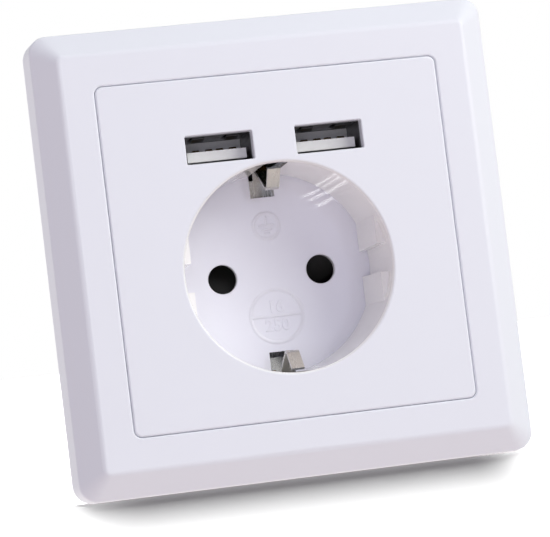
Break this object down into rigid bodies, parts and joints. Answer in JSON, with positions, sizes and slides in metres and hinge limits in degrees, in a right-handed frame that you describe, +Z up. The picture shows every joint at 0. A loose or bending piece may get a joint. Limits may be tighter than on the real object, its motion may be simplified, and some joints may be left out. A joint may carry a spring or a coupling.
{
  "type": "usb wall socket",
  "caption": "Square white flush wall socket with a round earthed plug well, a sprung shutter behind the pin holes, and USB charging ports above it.",
  "frame": {"origin": "centre of the support plate's rear face, on the wall's surface", "axes": "+Y into the wall, +Z up, +X right as seen from the room"},
  "size_m": [0.086, 0.042, 0.086],
  "materials": {
    "cover_frame": "satin white moulded plastic",
    "centre_plate": "satin white moulded plastic with a glossy well",
    "plated_steel": "nickel-plated spring steel",
    "zinc_steel": "zinc-plated pressed steel",
    "usb_shell": "plain stainless steel",
    "usb_insulator": "white moulded insulator",
    "usb_contact": "thin gold plating",
    "shutter": "black moulded plastic",
    "base_plastic": "white moulded base",
    "brass": "plain brass",
    "bronze": "phosphor bronze strip",
    "board": "green solder mask",
    "ferrite": "dark ferrite",
    "winding": "yellow tape",
    "capacitor": "dark sleeve",
    "chip": "black package",
    "lead_live": "brown insulation",
    "lead_neutral": "blue insulation"
  },
  "bodies": {
    "socket": {"cover_frame": "cover_frame", "centre_plate": "centre_plate", "earth_bracket": "plated_steel", "shutter_spring": "plated_steel", "contact_carrier": "base_plastic", "rear_housing": "base_plastic", "support_plate": "zinc_steel", "plate_screws": "zinc_steel", "terminal_screws": "zinc_steel", "live_contact": "bronze", "neutral_contact": "bronze", "live_terminal": "brass", "neutral_terminal": "brass", "earth_terminal": "brass", "usb_shell_left": "usb_shell", "usb_shell_right": "usb_shell", "usb_insulator_left": "usb_insulator", "usb_insulator_right": "usb_insulator", "usb_contacts_left": "usb_contact", "usb_contacts_right": "usb_contact", "charger_board": "board", "transformer_core": "ferrite", "transformer_winding": "winding", "input_capacitor": "capacitor", "output_capacitor": "capacitor", "controller_chip": "chip", "bridge_rectifier": "chip", "live_lead": "lead_live", "neutral_lead": "lead_neutral"},
    "shutter": {"shutter": "shutter"}
  },
  "joints": [
    {"name": "shutter_turn", "type": "hinge", "parent": "socket", "child": "shutter", "pos_m": [0, 0.01, -0.0042], "axis": [0, -1, 0], "range_deg": [0, 38], "stiffness_Nm_per_rad": 0.002, "springref_deg": -17.19}
  ]
}
